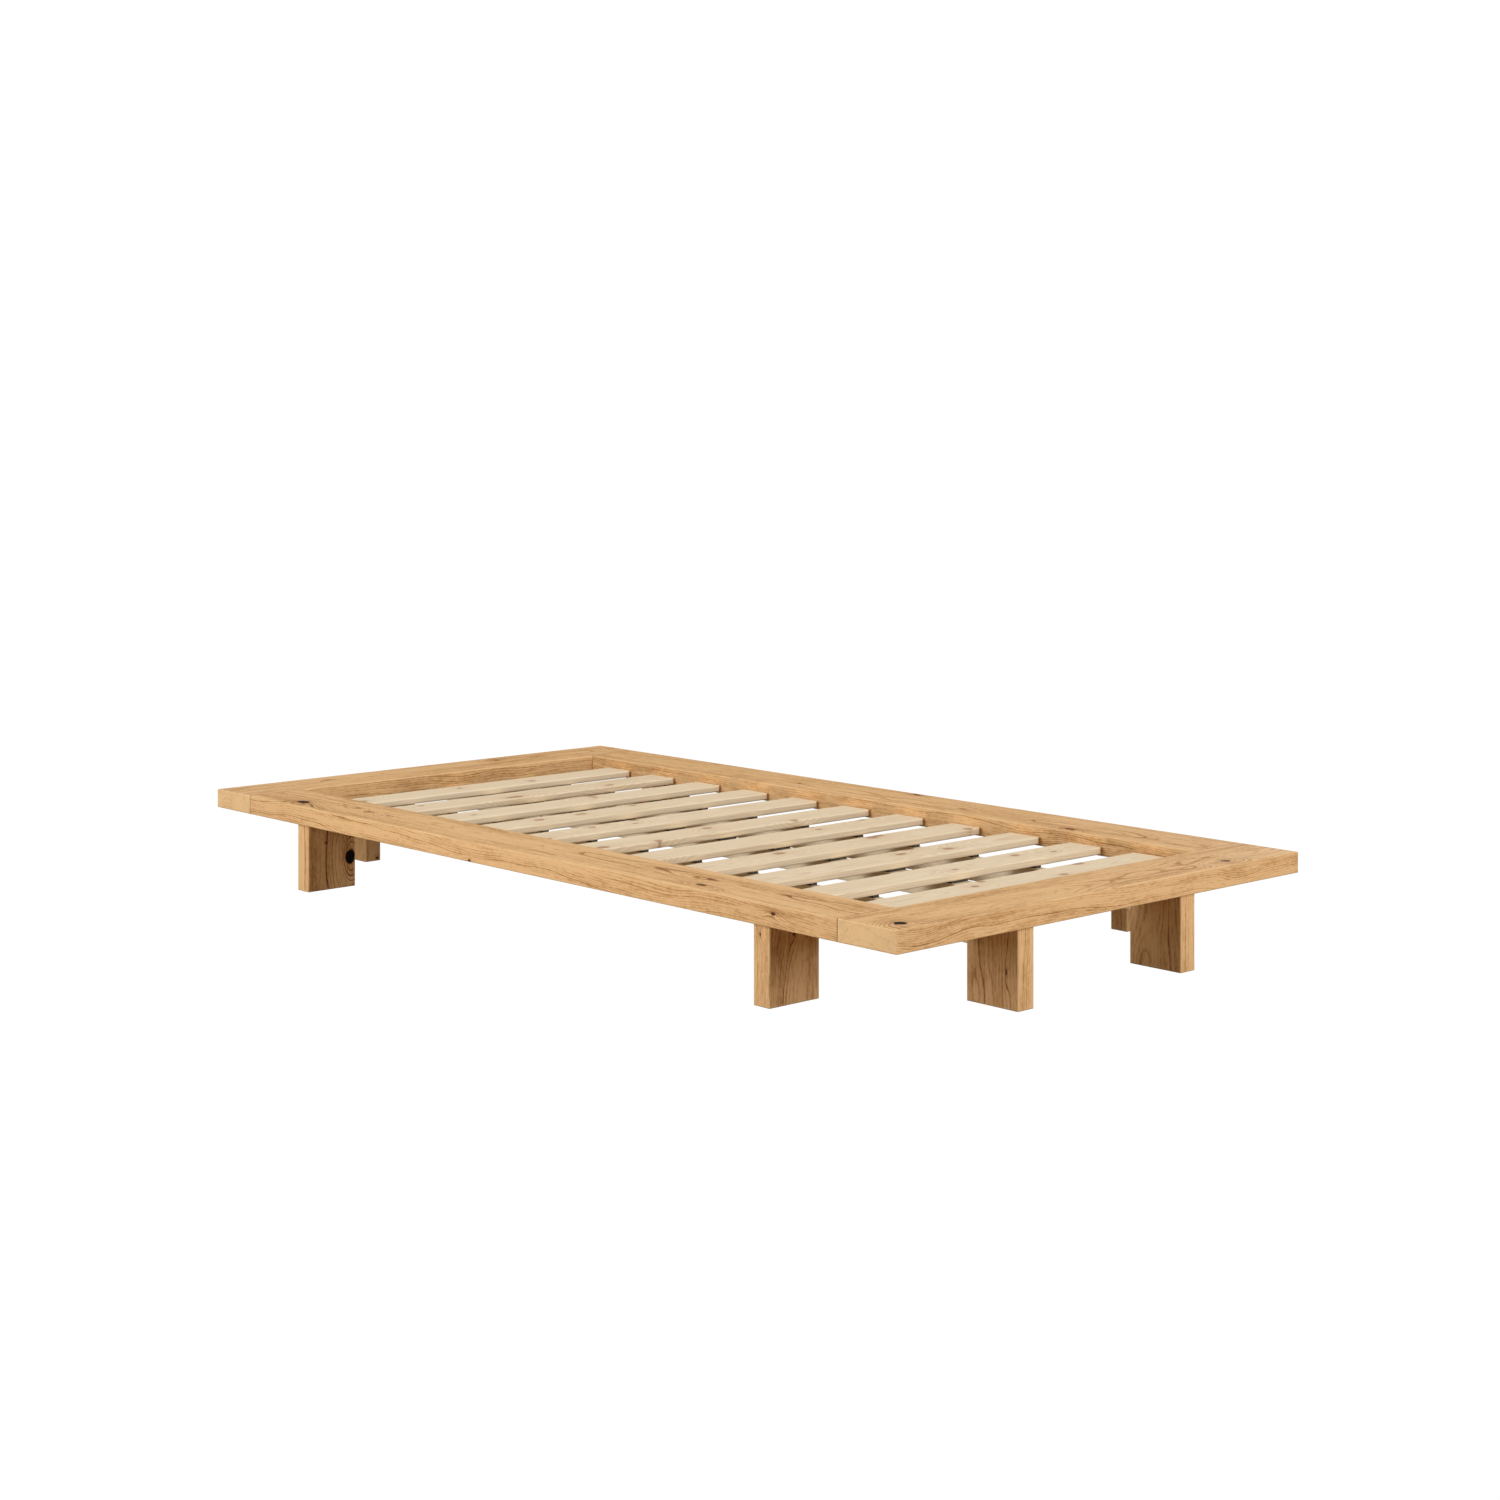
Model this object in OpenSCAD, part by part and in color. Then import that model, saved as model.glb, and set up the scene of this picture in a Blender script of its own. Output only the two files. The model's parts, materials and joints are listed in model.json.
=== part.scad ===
/* [Mattress and frame] */
// Width of the mattress that lies in the frame
mattress_w = 900; // [800:10:1200]
// Length of the mattress that lies in the frame
mattress_l = 2000; // [1900:10:2100]
// Width of the four frame boards
rail_w = 150; // [150:1:180]
// Thickness of the four frame boards
rail_t = 44; // [42:1:50]
// Height of the frame's top face above the floor
frame_h = 200; // [190:1:300]
// Radius of the eased edges on every oak board
edge_r = 3; // [1:0.5:4]
// Radius of the edges where two frame boards meet
seam_r = 1; // [0.5:0.25:1.5]

/* [Legs] */
// Width of a leg board
leg_w = 130; // [120:1:130]
// Thickness of a leg board
leg_t = 45; // [40:1:50]
// Distance from a leg's outer face to the frame's outer face
leg_inset = 11; // [8:1:15]
// Distance of the side legs from the middle of the bed
side_leg_y = 786; // [700:1:800]
// Distance of the end legs from the middle of the bed
end_leg_x = 243; // [200:1:280]

/* [Beams] */
// Thickness of the left and right beams
side_beam_w = 22; // [20:1:28]
// Height of the left and right beams
side_beam_h = 50; // [45:1:60]
// Width of the middle beam
mid_beam_w = 54; // [45:1:70]
// Height of the middle beam
mid_beam_h = 35; // [30:1:45]
// Depth of the housing that a side beam drops into
housing_d = 15; // [10:1:18]

/* [Slats] */
// Number of slats
slat_count = 11; // [9:1:13]
// Width of a slat
slat_w = 90; // [70:1:100]
// Thickness of a slat
slat_t = 16; // [15:1:20]
// Gap at each end of a slat
slat_side_gap = 3; // [2:0.5:8]
// Gap between the last slat and the end rail
slat_end_gap = 73; // [40:1:90]
// Thickness of the pad between slat and beam
pad_t = 5; // [3:0.5:6]

/* [Hidden] */
$fn = 48;

// Frame
outer_w = mattress_w + 2 * rail_w;
outer_l = mattress_l + 2 * rail_w;
rail_z = frame_h - rail_t;
joint_z = rail_z + rail_t / 2;
side_rail_x = (mattress_w + rail_w) / 2;
end_rail_y = (mattress_l + rail_w) / 2;
side_leg_x = outer_w / 2 - leg_inset - leg_w / 2;
end_leg_y = outer_l / 2 - leg_inset - leg_w / 2;

// Slats and pads
slat_l = mattress_w - 2 * slat_side_gap;
slat_z = rail_z + pad_t;
slat_first_y = mattress_l / 2 - slat_end_gap - slat_w / 2;
slat_pitch = 2 * slat_first_y / (slat_count - 1);
slat_corner_r = 10;
slat_edge_r = 4;
slat_tip_r = 3;
pad_l = slat_w - 8;
pad_corner_r = 2;
peg_r = 4;
peg_up = 10;
peg_down = 12;

// Beams
housing_play = 0.2;
side_beam_l = 2 * (end_leg_y - leg_w / 2 + housing_d - housing_play);
beam_edge_r = 2;

// Middle beam's hangers and their screws
hanger_t = 3;
hanger_w = 40;
hanger_reach = 40;
mid_beam_l = mattress_l - 2 * hanger_t;
mid_beam_z = rail_z - mid_beam_h;
screw_r = 2.2;
screw_l = 18;
screw_head_r = 4;
screw_head_h = 2.5;
screw_x = 12;
screw_in = 22;

// Play round a plain shank, and round a threaded or glued one
clear_play = 0.5;
fit_play = 0.05;
// How far a cutting shape runs past the face that it opens
over = 1;

// Leg bolts: two up through each leg
bolt_r = 4;
leg_bolt_gap = 70;
leg_bolt_l = 130;
leg_sink_r = 10;
washer_t = 1.6;
washer_r = 8.5;
head_r = 6.5;
head_h = 8;
socket_r = 3.5;
socket_h = 4;
insert_r = 6;
insert_l = 18;
insert_hole_l = 24;
bolt_end_gap = 1.6;
leg_sink_h = rail_z + insert_hole_l - bolt_end_gap - leg_bolt_l + washer_t;

// Corner joints: two dowels and one draw bolt each
dowel_r = 5;
dowel_l = 70;
dowel_x = 45;
cross_nut_r = 7;
cross_nut_l = 24;
cross_nut_y = 60;
pocket_x = 30;
pocket_y = 26;
pocket_wall = 40;
pocket_roof = 10;
draw_washer_r = 11;
draw_washer_t = 2;
hex_nut_r = 7.5;
hex_nut_t = 6.5;
draw_bolt_tail = 12;
draw_bolt_nose = 13;

oak = [0.80, 0.62, 0.41];
pine = [0.91, 0.82, 0.66];
beech = [0.86, 0.74, 0.58];
zinc = [0.74, 0.75, 0.77];
dark_rubber = [0.13, 0.13, 0.13];

function slat_name(i) = str("slat_", i < 10 ? "0" : "", i);

// ---- shapes that repeat ----

// What rounding takes off a square corner at the origin, whose sides run along +X and +Y
module corner_waste(r) {
    difference() {
        translate([-over, -over]) square(r + over);
        translate([r, r]) circle(r);
    }
}

// A rectangle with round corners, centred, with one radius on its -Y side and one on its +Y side
module round_rect(a, b, r_low, r_high) {
    difference() {
        square([a, b], center = true);
        translate([-a / 2, -b / 2]) corner_waste(r_low);
        translate([a / 2, -b / 2]) rotate(90) corner_waste(r_low);
        translate([a / 2, b / 2]) rotate(180) corner_waste(r_high);
        translate([-a / 2, b / 2]) rotate(270) corner_waste(r_high);
    }
}

// The same radius for a board's -Y and +Y sides
function pair(r) = [r, r];

// A board centred on the origin. Seen from the top and along X, its -Y and +Y sides have a radius each
module eased_board(x, y, z, r_top, r_end, r_side) {
    intersection() {
        linear_extrude(z, center = true) round_rect(x, y, r_top[0], r_top[1]);
        rotate([90, 0, 0]) linear_extrude(y, center = true) round_rect(x, z, r_side, r_side);
        rotate([0, 90, 0]) linear_extrude(x, center = true) round_rect(z, y, r_end[0], r_end[1]);
    }
}

// An oak board that stands on z = 0, with the radii of its -Y and +Y sides
module oak_board(x, y, z, r_low = edge_r, r_high = edge_r) {
    translate([0, 0, z / 2]) eased_board(x, y, z, [r_low, r_high], [r_low, r_high], edge_r);
}

// A flat ring with its axis along Z
module ring(r_out, r_in, h) {
    difference() {
        cylinder(r = r_out, h = h);
        translate([0, 0, -over]) cylinder(r = r_in, h = h + 2 * over);
    }
}

// A rod along Y from one place to another
module rod_y(r, y_from, y_to) {
    translate([0, y_to, 0]) rotate([90, 0, 0]) cylinder(r = r, h = y_to - y_from);
}

// The children as drawn, and mirrored across the middle of the bed
module both(axis) {
    children();
    mirror(axis) children();
}

// Each corner joint: y = 0 is the seam, with the end rail on its +Y side
module at_corners() {
    both([1, 0, 0]) both([0, 1, 0]) translate([side_rail_x, mattress_l / 2, joint_z]) children();
}

// Every bolt place along a leg board that lies along X, centred on the origin
module at_leg_pair() {
    for (s = [-1, 1]) {
        translate([s * leg_bolt_gap / 2, 0, 0]) children();
    }
}

// Every leg bolt, under the side rails and under the end rails
module at_side_leg_bolts() {
    both([1, 0, 0]) both([0, 1, 0]) translate([side_leg_x, side_leg_y, 0]) at_leg_pair() children();
}
module at_end_leg_bolts() {
    both([1, 0, 0]) both([0, 1, 0])
        translate([end_leg_x, end_leg_y, 0]) rotate([0, 0, 90]) at_leg_pair() children();
}

// Every place where a slat crosses the beam that is drawn
module at_slats() {
    for (i = [1 : slat_count]) {
        translate([0, slat_first_y - (i - 1) * slat_pitch, 0]) children();
    }
}

// Both screws in one flange of a hanger
module at_screw_pair(y, z) {
    for (s = [-1, 1]) {
        translate([s * screw_x, y, z]) children();
    }
}

// ---- holes ----

module insert_hole() {
    translate([0, 0, rail_z - over]) cylinder(r = insert_r + fit_play, h = insert_hole_l + over);
}
module screw_hole(depth) {
    translate([0, 0, -over]) cylinder(r = screw_r + fit_play, h = depth + over);
}
module corner_holes() {
    for (s = [-1, 1]) {
        translate([s * dowel_x, 0, 0])
            rod_y(dowel_r + fit_play, -dowel_l / 2 - over, dowel_l / 2 + over);
    }
    rod_y(bolt_r + clear_play, -cross_nut_y - draw_bolt_tail - over, pocket_wall + over);
    translate([0, -cross_nut_y, -rail_t / 2 - over])
        cylinder(r = cross_nut_r + fit_play, h = (rail_t + cross_nut_l) / 2 + 2 * over);
    translate([0, pocket_wall + pocket_y / 2, -rail_t / 2 - over])
        linear_extrude(rail_t - pocket_roof + over)
        round_rect(pocket_x, pocket_y, cross_nut_r, cross_nut_r);
}
// An end rail's inner edges are eased between the side rails only
module recess_edges() {
    both([0, 1, 0]) translate([0, mattress_l / 2, joint_z]) both([0, 0, 1])
        translate([0, 0, -rail_t / 2]) rotate([90, 0, 90])
        linear_extrude(mattress_w, center = true) corner_waste(edge_r);
}

// ---- oak frame ----

module end_rail(end) {
    color(oak)
    difference() {
        translate([0, end * end_rail_y, rail_z])
            oak_board(outer_w, rail_w, rail_t, end < 0 ? edge_r : seam_r, end < 0 ? seam_r : edge_r);
        recess_edges();
        at_corners() corner_holes();
        at_end_leg_bolts() insert_hole();
        at_screw_pair(end * (mattress_l / 2 + screw_in), rail_z) screw_hole(screw_l - hanger_t + over);
    }
}
module side_rail(side) {
    color(oak)
    difference() {
        translate([side * side_rail_x, 0, rail_z]) oak_board(rail_w, mattress_l, rail_t, seam_r, seam_r);
        at_corners() corner_holes();
        at_side_leg_bolts() insert_hole();
    }
}
module head_rail() { end_rail(1); }
module foot_rail() { end_rail(-1); }
module left_rail() { side_rail(-1); }
module right_rail() { side_rail(1); }

// A leg board along X, with its two bolt holes sunk from the foot
module leg_board() {
    difference() {
        oak_board(leg_w, leg_t, rail_z);
        at_leg_pair() {
            translate([0, 0, -over]) cylinder(r = bolt_r + clear_play, h = rail_z + 2 * over);
            translate([0, 0, -over]) cylinder(r = leg_sink_r, h = leg_sink_h + over);
        }
    }
}
module side_leg(side, end) {
    color(oak) translate([side * side_leg_x, end * side_leg_y, 0]) leg_board();
}
// An end leg's inner edge is housed for the side beam
module end_leg(side, end) {
    color(oak)
    translate([side * end_leg_x, end * end_leg_y, 0])
    difference() {
        rotate([0, 0, 90]) leg_board();
        translate([0, -end * (leg_w / 2 - housing_d / 2 + over / 2), rail_z - side_beam_h / 2 + over / 2])
            cube([side_beam_w + 2 * housing_play, housing_d + over, side_beam_h + over], center = true);
    }
}
module side_leg_head_left() { side_leg(-1, 1); }
module side_leg_head_right() { side_leg(1, 1); }
module side_leg_foot_left() { side_leg(-1, -1); }
module side_leg_foot_right() { side_leg(1, -1); }
module end_leg_head_left() { end_leg(-1, 1); }
module end_leg_head_right() { end_leg(1, 1); }
module end_leg_foot_left() { end_leg(-1, -1); }
module end_leg_foot_right() { end_leg(1, -1); }

// ---- pine beams and slats ----

module beam(x, w, h, l) {
    color(pine)
    difference() {
        translate([x, 0, rail_z - h / 2])
            eased_board(w, l, h, pair(beam_edge_r), pair(beam_edge_r), beam_edge_r);
        translate([x, 0, rail_z - peg_down]) at_slats() cylinder(r = peg_r + fit_play, h = peg_down + over);
        if (x == 0) {
            for (end = [-1, 1]) {
                at_screw_pair(end * (mattress_l / 2 - screw_in), mid_beam_z)
                    screw_hole(screw_l - hanger_t + over);
            }
        }
    }
}
module beam_left() { beam(-end_leg_x, side_beam_w, side_beam_h, side_beam_l); }
module beam_middle() { beam(0, mid_beam_w, mid_beam_h, mid_beam_l); }
module beam_right() { beam(end_leg_x, side_beam_w, side_beam_h, side_beam_l); }

module slat(i) {
    color(pine)
    translate([0, slat_first_y - (i - 1) * slat_pitch, slat_z])
    difference() {
        translate([0, 0, slat_t / 2])
            eased_board(slat_l, slat_w, slat_t, pair(slat_corner_r), pair(slat_edge_r), slat_tip_r);
        for (x = [-end_leg_x, 0, end_leg_x]) {
            translate([x, 0, -over]) cylinder(r = peg_r + fit_play, h = peg_up + over);
        }
    }
}

// ---- pads: one under each slat on each beam, with a peg up into the slat and down into the beam ----

module pads(x, w) {
    color(dark_rubber)
    translate([x, 0, rail_z])
    at_slats() {
        linear_extrude(pad_t) round_rect(w, pad_l, pad_corner_r, pad_corner_r);
        translate([0, 0, -peg_down]) cylinder(r = peg_r, h = peg_down + pad_t + peg_up);
    }
}
module pads_left() { pads(-end_leg_x, side_beam_w - 2 * beam_edge_r); }
module pads_middle() { pads(0, mid_beam_w - 2 * beam_edge_r); }
module pads_right() { pads(end_leg_x, side_beam_w - 2 * beam_edge_r); }

// ---- corner hardware ----

module corner_dowels() {
    color(beech)
    at_corners() {
        for (s = [-1, 1]) {
            translate([s * dowel_x, 0, 0]) rod_y(dowel_r, -dowel_l / 2, dowel_l / 2);
        }
    }
}
module corner_draw_bolts() {
    color(zinc)
    at_corners() rod_y(bolt_r, -cross_nut_y - draw_bolt_tail, pocket_wall + draw_bolt_nose);
}
module corner_cross_nuts() {
    color(zinc)
    at_corners()
    difference() {
        translate([0, -cross_nut_y, -cross_nut_l / 2]) cylinder(r = cross_nut_r, h = cross_nut_l);
        rod_y(bolt_r + fit_play, -cross_nut_y - 2 * cross_nut_r, -cross_nut_y + 2 * cross_nut_r);
    }
}
module corner_washers() {
    color(zinc)
    at_corners() translate([0, pocket_wall, 0])
        rotate([-90, 0, 0]) ring(draw_washer_r, bolt_r + fit_play, draw_washer_t);
}
module corner_hex_nuts() {
    color(zinc)
    at_corners() translate([0, pocket_wall + draw_washer_t, 0])
    rotate([-90, 0, 0])
    difference() {
        cylinder(r = hex_nut_r, h = hex_nut_t, $fn = 6);
        translate([0, 0, -over]) cylinder(r = bolt_r + fit_play, h = hex_nut_t + 2 * over);
    }
}

// ---- leg hardware ----

module leg_bolt() {
    head_z = leg_sink_h - washer_t - head_h;
    difference() {
        translate([0, 0, head_z]) cylinder(r = head_r, h = head_h);
        translate([0, 0, head_z - over]) cylinder(r = socket_r, h = socket_h + over, $fn = 6);
    }
    translate([0, 0, head_z + head_h]) cylinder(r = bolt_r, h = leg_bolt_l);
}
module leg_bolts() {
    color(zinc) {
        at_side_leg_bolts() leg_bolt();
        at_end_leg_bolts() leg_bolt();
    }
}
module leg_washer() {
    translate([0, 0, leg_sink_h - washer_t]) ring(washer_r, bolt_r + fit_play, washer_t);
}
module leg_washers() {
    color(zinc) {
        at_side_leg_bolts() leg_washer();
        at_end_leg_bolts() leg_washer();
    }
}
module leg_insert() {
    translate([0, 0, rail_z]) ring(insert_r, bolt_r + fit_play, insert_l);
}
module leg_inserts() {
    color(zinc) {
        at_side_leg_bolts() leg_insert();
        at_end_leg_bolts() leg_insert();
    }
}

// ---- middle beam's hangers ----

// A bent strip: a flange under the end rail, a web down the beam's end and a flange under the beam
module hanger_profile() {
    translate([mattress_l / 2, rail_z - hanger_t]) square([hanger_reach, hanger_t]);
    translate([mattress_l / 2 - hanger_t, mid_beam_z - hanger_t])
        square([hanger_t, mid_beam_h + hanger_t]);
    translate([mattress_l / 2 - hanger_t, rail_z - hanger_t]) square([2 * hanger_t, hanger_t]);
    translate([mattress_l / 2 - hanger_reach, mid_beam_z - hanger_t]) square([hanger_reach, hanger_t]);
}
module hanger() {
    color(zinc)
    difference() {
        rotate([90, 0, 90]) linear_extrude(hanger_w, center = true) hanger_profile();
        at_screw_pair(mattress_l / 2 + screw_in, rail_z - hanger_t) screw_hole(hanger_t + over);
        at_screw_pair(mattress_l / 2 - screw_in, mid_beam_z - hanger_t) screw_hole(hanger_t + over);
    }
}
module hanger_head() { hanger(); }
module hanger_foot() { mirror([0, 1, 0]) hanger(); }

module screw() {
    translate([0, 0, -screw_head_h]) cylinder(r = screw_head_r, h = screw_head_h);
    cylinder(r = screw_r, h = screw_l);
}
module hanger_screws() {
    color(zinc)
    both([0, 1, 0]) {
        at_screw_pair(mattress_l / 2 + screw_in, rail_z - hanger_t) screw();
        at_screw_pair(mattress_l / 2 - screw_in, mid_beam_z - hanger_t) screw();
    }
}

head_rail();
foot_rail();
left_rail();
right_rail();
side_leg_head_left();
side_leg_head_right();
side_leg_foot_left();
side_leg_foot_right();
end_leg_head_left();
end_leg_head_right();
end_leg_foot_left();
end_leg_foot_right();
beam_left();
beam_middle();
beam_right();
for (i = [1 : slat_count]) slat(i);
pads_left();
pads_middle();
pads_right();
corner_dowels();
corner_draw_bolts();
corner_cross_nuts();
corner_washers();
corner_hex_nuts();
leg_bolts();
leg_washers();
leg_inserts();
hanger_head();
hanger_foot();
hanger_screws();
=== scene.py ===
import json
import math
import random

import bmesh
import bpy
from mathutils import Matrix, Vector


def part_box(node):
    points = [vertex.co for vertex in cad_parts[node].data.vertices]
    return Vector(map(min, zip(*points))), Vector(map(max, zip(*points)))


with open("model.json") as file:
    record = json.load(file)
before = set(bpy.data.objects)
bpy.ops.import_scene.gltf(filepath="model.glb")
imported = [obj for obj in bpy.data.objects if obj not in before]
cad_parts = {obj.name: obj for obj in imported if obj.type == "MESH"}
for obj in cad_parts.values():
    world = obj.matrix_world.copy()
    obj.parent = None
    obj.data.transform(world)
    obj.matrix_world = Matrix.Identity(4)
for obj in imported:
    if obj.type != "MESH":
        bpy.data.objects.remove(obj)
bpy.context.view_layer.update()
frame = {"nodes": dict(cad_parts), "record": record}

# ---- view: a level camera off the left corner of the foot end, with the bed low in its picture ----

CAMERA_PLACE = (-3.838, -4.299, 1.116)
CAMERA_TURN = -42.51
CAMERA_LENS = 61.25
CAMERA_SENSOR = 36.0
CAMERA_SHIFT = -0.2252

# ---- floor and light: what the camera sees as white throws back a dimmer, warmer light ----

WHITE = (1.0, 1.0, 1.0)
WHITE_STRENGTH = 1.05
FLOOR_REACH = 30.0
FLOOR_DROP = 0.0005
FLOOR_COLOUR = (0.30, 0.215, 0.13)
FLOOR_ROUGHNESS = 0.9
FLOOR_WHITE_SHARE = 0.97
FILL_STRENGTH = 0.16
FILL_TINT = (1.0, 0.74, 0.46)

# Each lamp's place, the point that it faces, its side and its power.
LAMPS = {
    "left": ((-4.2, 0.3, 1.7), (-0.6, 0.0, 0.15), 2.6, 134),
    "front": ((0.6, -5.0, 1.8), (0.0, -1.1, 0.15), 2.4, 142),
    "overhead": ((0.6, 0.8, 3.6), (0.0, 0.0, 0.2), 3.0, 58),
    "right": ((4.2, 0.4, 1.6), (0.6, 0.0, 0.15), 2.2, 32),
    "back": ((0.4, 5.0, 1.6), (0.0, 1.1, 0.15), 2.2, 16),
}

# ---- finishes, as linear colours ----

OAK_PALE = (0.81, 0.53, 0.27)
OAK_MIDDLE = (0.53, 0.282, 0.108)
OAK_DEEP = (0.18, 0.074, 0.024)
# The pale colour of the worn edges, which also serves as a painted highlight along them.
OAK_WORN_HIGHLIGHT = (0.79, 0.54, 0.28)
OAK_END = (0.92, 0.69, 0.40)
# The painted shade in the groove where the rails meet.
JOINT_PAINTED_SHADE = (0.14, 0.070, 0.030)
KNOT_BLACK = (0.004, 0.003, 0.004)
KNOT_BROWN = (0.10, 0.036, 0.018)
PINE_PALE = (0.85, 0.725, 0.53)
PINE_MIDDLE = (0.71, 0.535, 0.345)
PINE_DEEP = (0.40, 0.22, 0.10)
PINE_KNOT = (0.40, 0.215, 0.13)
BEECH_PALE = (0.72, 0.50, 0.32)
BEECH_DEEP = (0.50, 0.30, 0.17)
ZINC_PALE = (0.68, 0.69, 0.71)
ZINC_DEEP = (0.50, 0.51, 0.54)
RUBBER_DARK = (0.060, 0.050, 0.040)
RUBBER_DUSTY = (0.110, 0.092, 0.074)

# How much each finish that isn't metal shines.
OAK_GLOSS = 0.15
PINE_GLOSS = 0.35
RUBBER_GLOSS = 0.3
BEECH_GLOSS = 0.35

# Each finish's bump, as a strength and a distance in metres.
OAK_BUMP = (0.22, 0.0004)
PINE_BUMP = (0.3, 0.0005)
RUBBER_BUMP = (0.4, 0.0003)
BEECH_BUMP = (0.3, 0.0003)
ZINC_BUMP = (0.2, 0.0002)

# ---- patterns ----

# Each noise's waves per metre along, across and through a board, or along X, Y and Z elsewhere, then
# its detail and its roughness.
NOISES = {
    "slow bend": ((2.6, 7, 7), 2.0, 0.5),
    "quick bend": ((22, 42, 42), 3.0, 0.5),
    "knot edge": ((130, 190, 190), 3.0, 0.5),
    "worn highlight edge": ((28, 60, 60), 3.0, 0.5),
    "bands": ((2.2, 26, 26), 3.0, 0.5),
    "streaks": ((13, 230, 230), 4.0, 0.6),
    "flecks": ((75, 170, 170), 3.0, 0.6),
    "pores": ((85, 1500, 1500), 2.0, 0.5),
    "rays": ((110, 260, 420), 3.0, 0.6),
    "mottle": ((24, 60, 60), 5.0, 0.7),
    "rubber dust": ((60, 60, 60), 4.0, 0.6),
    "rubber grain": ((1800, 1800, 1800), 2.0, 0.5),
    "beech flecks": ((1200, 160, 1200), 2.0, 0.5),
    "beech streaks": ((300, 14, 300), 3.0, 0.5),
    "zinc clouds": ((90, 90, 90), 3.0, 0.5),
    "zinc scratches": ((900, 900, 120), 2.0, 0.5),
}
SEED_STEP = (7.3, 3.1, 5.7)
ORIGIN = (0, 0, 0)

# Rings: metres from one to the next, how far they wander, and how fast they widen along a board.
OAK_SPACING = 0.0036
OAK_WANDER = 0.042
OAK_TAPER = 0.018
PINE_SPACING = 0.004
PINE_WANDER = 0.022
PINE_TAPER = 0.012
QUICK_BEND_SHARE = 0.06

# Where the early part of an oak ring and the late part of a pine ring begin and end, as shares.
EARLY_RISE = (0.0, 0.10)
EARLY_FALL = (0.12, 0.50)
LATE_RISE = (0.35, 0.88)
LATE_FALL = (0.92, 1.0)

# How strong the faintest year is, and how much stronger every year gets beside a knot.
FAINTEST_YEAR = 0.25
NEAR_KNOT_GAIN = 0.6

# Knots, in radii of the knot: where the core ends, how ragged it is, and how fast the stain and the
# pushed rings fade away from it.
KNOT_EDGE = (1.15, 1.4)
KNOT_RAGGED = 0.5
STAIN_FALL = 0.75
SWELL_STRETCH = (0.55, 1, 1)
SWELL_FALL = 0.09

# Noise levels at which a pore and a ray begin and are full.
PORE_LEVELS = (0.54, 0.68)
RAY_LEVELS = (0.54, 0.70)

# How much more the pores show in the early part of a ring, and how much they show anywhere.
PORES_IN_EARLY = 0.8
PORES_ANYWHERE = 0.25

# Worn edges, lightened partly as wear and partly as a painted highlight along the rounded edges: their
# widths in metres, their wavy border in such widths, and how much of the wear and painted highlight
# shows.
OAK_WORN_HIGHLIGHT_WIDTH = 0.0045
PINE_WORN_HIGHLIGHT_WIDTH = 0.003
WORN_HIGHLIGHT_WAVE = 1.6
WORN_HIGHLIGHT_BORDER = (0.35, 1.25)
WORN_HIGHLIGHT_SHARE = 0.45

# A board's ends: the depth in metres over which their look fades, how much fainter the rings are
# there, and how much of the end colour shows.
END_DEPTH = (0.0004, 0.0028)
END_RINGS_LOST = 0.4
END_SHARE = 0.45

# The joint lines on the rails, in metres: a thin line of painted shade in the groove where the rails
# meet, and a wider strip along it. The end rails' inner faces lie at JOINT_Y either way, and the side
# rails' at JOINT_X.
JOINT_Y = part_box("left_rail")[1].y
JOINT_X = -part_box("left_rail")[1].x
JOINT_REACHES = (("Line", 0.0018), ("Strip", 0.012))
JOINT_FULL_SHARE = 0.4
JOINT_SOFTNESS = 0.002
JOINT_SHADE_SHARE = 0.75

# How much each part of a finish adds to its depth of colour, its roughness and its height.
OAK_TONE = 0.41
OAK_DEPTH = {"early": 0.70, "year": 0.20, "bands": 1.05, "streaks": 1.05, "flecks": 0.65,
             "mottle": 0.65, "pores": 0.45, "stain": 0.75, "rays": -0.22}
OAK_ROUGHNESS = {"base": 0.52, "early": 0.07, "pores": 0.14, "knot": 0.18}
OAK_HEIGHT = {"base": 0.5, "early": -0.25, "pores": -0.5, "streaks": 0.35, "flecks": 0.3}
PINE_DEPTH = {"late": 0.26, "year": 0.08, "bands": 0.45, "streaks": 0.26, "flecks": 0.16,
              "stain": 0.55, "worn_and_highlight": -0.08}
PINE_ROUGHNESS = {"base": 0.60, "late": -0.08, "streaks": 0.10}
PINE_HEIGHT = {"base": 0.4, "late": 0.3, "streaks": 0.4}
PINE_KNOT_SHARE = 0.72
RUBBER_DUST_LEVELS = (0.45, 0.75)
RUBBER_ROUGHNESS = {"base": 0.7, "dust": 0.2}
BEECH_FLECK_LEVELS = (0.52, 0.66)
BEECH_DEPTH = {"base": -0.1, "flecks": 0.5, "streaks": 0.6}
BEECH_ROUGHNESS = {"base": 0.58, "streaks": 0.12}
ZINC_ROUGHNESS = {"base": 0.22, "clouds": 0.2, "scratches": 0.1}

# What is drawn for each slat and beam. A pine knot is longer along the grain than across it.
PINE_DRAW_SEED = 11
PINE_FIRST_SEED = 20.0
PINE_KNOTS = 4
PINE_KNOT_REACH = (0.92, 0.95)
PINE_KNOT_RADII = (0.005, 0.011)
PINE_KNOT_STRETCH = 1.5
PINE_KNOT_PUSH = 2.4
PINE_PITH_Y = (-0.05, 0.05)
PINE_PITH_Z = (0.03, 0.07)
PINE_TONES = (0.10, 0.20)
# Beams are drawn paler than the slats: painted light that lifts the shade the slats throw on them.
BEAM_PAINTED_LIGHT = 0.15


# ---- placing nodes in a tree ----

def feed(tree, socket, value):
    """Joins a socket to another, or sets it."""
    if isinstance(value, bpy.types.NodeSocket):
        tree.links.new(value, socket)
    elif isinstance(value, tuple) and len(value) == 3 and socket.type == "RGBA":
        socket.default_value = (*value, 1.0)
    else:
        socket.default_value = value


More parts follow.
